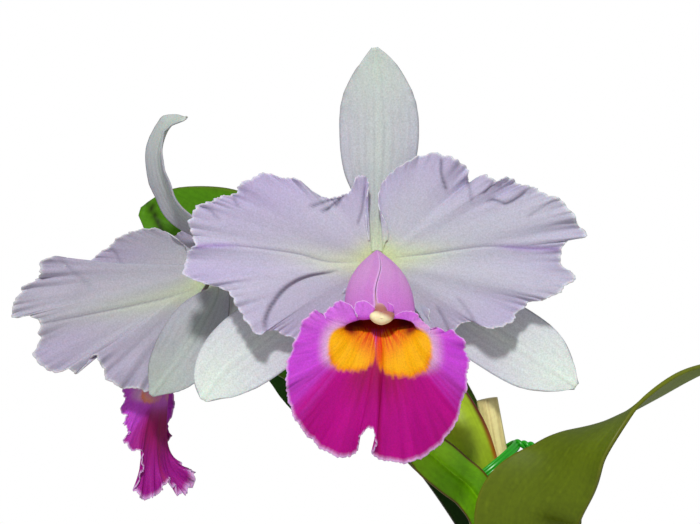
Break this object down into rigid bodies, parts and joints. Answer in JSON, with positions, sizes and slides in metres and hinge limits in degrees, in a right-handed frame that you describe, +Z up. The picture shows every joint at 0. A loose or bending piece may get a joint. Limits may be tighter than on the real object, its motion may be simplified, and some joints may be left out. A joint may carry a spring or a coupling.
{
  "type": "potted cattleya orchid",
  "caption": "Potted cattleya orchid in bloom, with lilac petals, pale sepals, magenta frilled lips with yellow throats, strap leaves, a cane stake and a clay pot.",
  "frame": {"origin": "centre of the underside of the pot", "axes": "+Z up out of the pot; the main bloom faces -Y and the second bloom faces -X"},
  "size_m": [0.3422, 0.1844, 0.4727],
  "materials": {
    "petal": "matte, soft and faintly translucent",
    "sepal": "matte, soft and faintly translucent",
    "lip": "velvety",
    "column": "waxy",
    "leaf": "leathery with a waxy gloss",
    "stem": "waxy",
    "bulb": "ribbed with dry papery sheaths",
    "root": "dry",
    "spathe": "waxy with a dry edge",
    "clay": "unglazed",
    "bark": "rough chips",
    "cane": "split and dry",
    "tie": "coated wire"
  },
  "bodies": {
    "root": {"bloom_1_left_petal": "petal", "bloom_1_right_petal": "petal", "bloom_2_near_petal": "petal", "bloom_2_far_petal": "petal", "bloom_1_dorsal_sepal": "sepal", "bloom_1_left_sepal": "sepal", "bloom_1_right_sepal": "sepal", "bloom_2_dorsal_sepal": "sepal", "bloom_2_near_sepal": "sepal", "bloom_2_far_sepal": "sepal", "bloom_1_lip": "lip", "bloom_2_lip": "lip", "bloom_1_column": "column", "bloom_2_column": "column", "leaf_1": "leaf", "leaf_2": "leaf", "leaf_3": "leaf", "leaf_4": "leaf", "bract": "leaf", "flower_stem": "stem", "pedicel_1": "stem", "pseudobulb_1": "bulb", "pseudobulb_2": "bulb", "pseudobulb_3": "bulb", "pseudobulb_4": "bulb", "rhizome": "root", "spathe": "spathe", "pot": "clay", "bark_mix": "bark", "stake": "cane", "tie": "tie"}
  },
  "joints": []
}
